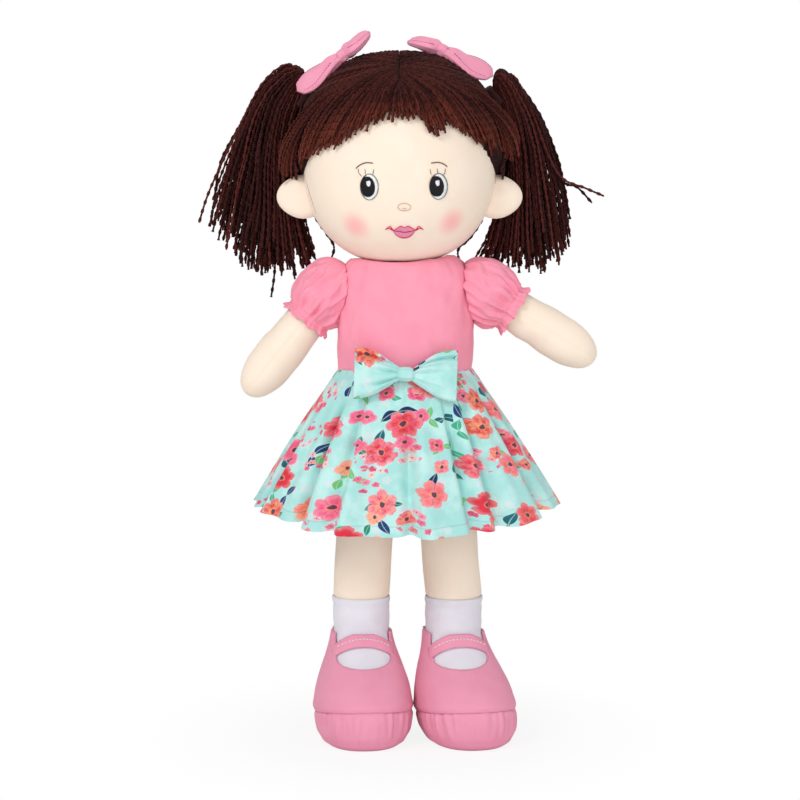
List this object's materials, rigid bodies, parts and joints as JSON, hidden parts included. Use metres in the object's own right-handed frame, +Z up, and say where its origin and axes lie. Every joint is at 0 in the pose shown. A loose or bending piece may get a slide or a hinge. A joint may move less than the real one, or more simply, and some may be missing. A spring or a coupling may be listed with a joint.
{
  "type": "rag doll",
  "caption": "Soft stuffed rag doll that stands on its shoes, with yarn pigtails, puff sleeves, a flared skirt, socks and strap shoes; head, arms and legs turn at their seams.",
  "frame": {"origin": "on the floor between the feet, straight under the middle of the neck", "axes": "+Z up, the doll faces -Y, its own left side is +X"},
  "size_m": [0.2391, 0.1477, 0.4503],
  "materials": {
    "skin_knit": "matt",
    "stuffing": "matt",
    "yarn": "matt",
    "fringe_yarn": "matt",
    "pink_cloth": "matt",
    "pink_felt": "matt",
    "printed_cotton": "matt",
    "white_knit": "matt",
    "elastic": "matt"
  },
  "bodies": {
    "torso": {"torso_skin": "skin_knit", "torso_stuffing": "stuffing", "bodice": "pink_cloth", "skirt": "printed_cotton", "waist_bow_knot": "printed_cotton", "waist_bow_loop_right": "printed_cotton", "waist_bow_loop_left": "printed_cotton"},
    "neck": {"neck_stub": "skin_knit"},
    "head": {"head_skin": "skin_knit", "head_stuffing": "stuffing", "ear_right": "skin_knit", "ear_left": "skin_knit", "hair_cap": "yarn", "fringe": "fringe_yarn", "hair_tie_right": "pink_felt", "hair_tie_left": "pink_felt", "hair_bow_right": "pink_felt", "hair_bow_left": "pink_felt", "hair_bow_band_right": "pink_felt", "hair_bow_band_left": "pink_felt"},
    "pigtail_right": {"pigtail_right": "yarn"},
    "pigtail_left": {"pigtail_left": "yarn"},
    "shoulder_right": {"shoulder_seam_right": "skin_knit"},
    "shoulder_left": {"shoulder_seam_left": "skin_knit"},
    "arm_right": {"arm_skin_right": "skin_knit", "arm_stuffing_right": "stuffing", "sleeve_right": "pink_cloth", "sleeve_elastic_right": "elastic"},
    "arm_left": {"arm_skin_left": "skin_knit", "arm_stuffing_left": "stuffing", "sleeve_left": "pink_cloth", "sleeve_elastic_left": "elastic"},
    "leg_right": {"leg_skin_right": "skin_knit", "leg_stuffing_right": "stuffing", "sock_right": "white_knit", "shoe_sole_right": "pink_felt", "shoe_upper_right": "pink_felt", "shoe_strap_right": "pink_felt"},
    "leg_left": {"leg_skin_left": "skin_knit", "leg_stuffing_left": "stuffing", "sock_left": "white_knit", "shoe_sole_left": "pink_felt", "shoe_upper_left": "pink_felt", "shoe_strap_left": "pink_felt"}
  },
  "joints": [
    {"name": "neck_turn", "type": "hinge", "parent": "torso", "child": "neck", "pos_m": [0, 0, 0.3], "axis": [0, 0, 1], "range_deg": [-45, 45]},
    {"name": "neck_nod", "type": "hinge", "parent": "neck", "child": "head", "pos_m": [0, 0, 0.316], "axis": [1, 0, 0], "range_deg": [-12, 12]},
    {"name": "pigtail_right_swing", "type": "hinge", "parent": "head", "child": "pigtail_right", "pos_m": [-0.0714, 0.014, 0.4142], "axis": [0, 1, 0], "range_deg": [0, 70]},
    {"name": "pigtail_left_swing", "type": "hinge", "parent": "head", "child": "pigtail_left", "pos_m": [0.0638, 0.014, 0.4142], "axis": [0, -1, 0], "range_deg": [0, 70]},
    {"name": "shoulder_right_swing", "type": "hinge", "parent": "torso", "child": "shoulder_right", "pos_m": [-0.047, 0, 0.288], "axis": [-1, 0, 0], "range_deg": [-40, 100]},
    {"name": "arm_right_raise", "type": "hinge", "parent": "shoulder_right", "child": "arm_right", "pos_m": [-0.047, 0, 0.288], "axis": [0, 1, 0], "range_deg": [-15, 41], "deforming": ["sleeve_right"]},
    {"name": "shoulder_left_swing", "type": "hinge", "parent": "torso", "child": "shoulder_left", "pos_m": [0.047, 0, 0.288], "axis": [-1, 0, 0], "range_deg": [-40, 100]},
    {"name": "arm_left_raise", "type": "hinge", "parent": "shoulder_left", "child": "arm_left", "pos_m": [0.047, 0, 0.288], "axis": [0, -1, 0], "range_deg": [-34, 22], "deforming": ["sleeve_left"]},
    {"name": "hip_right_swing", "type": "hinge", "parent": "torso", "child": "leg_right", "pos_m": [-0.0227, 0, 0.195], "axis": [-1, 0, 0], "range_deg": [-30, 85], "deforming": ["skirt"]},
    {"name": "hip_left_swing", "type": "hinge", "parent": "torso", "child": "leg_left", "pos_m": [0.0227, 0, 0.195], "axis": [-1, 0, 0], "range_deg": [-30, 85], "deforming": ["skirt"]}
  ]
}
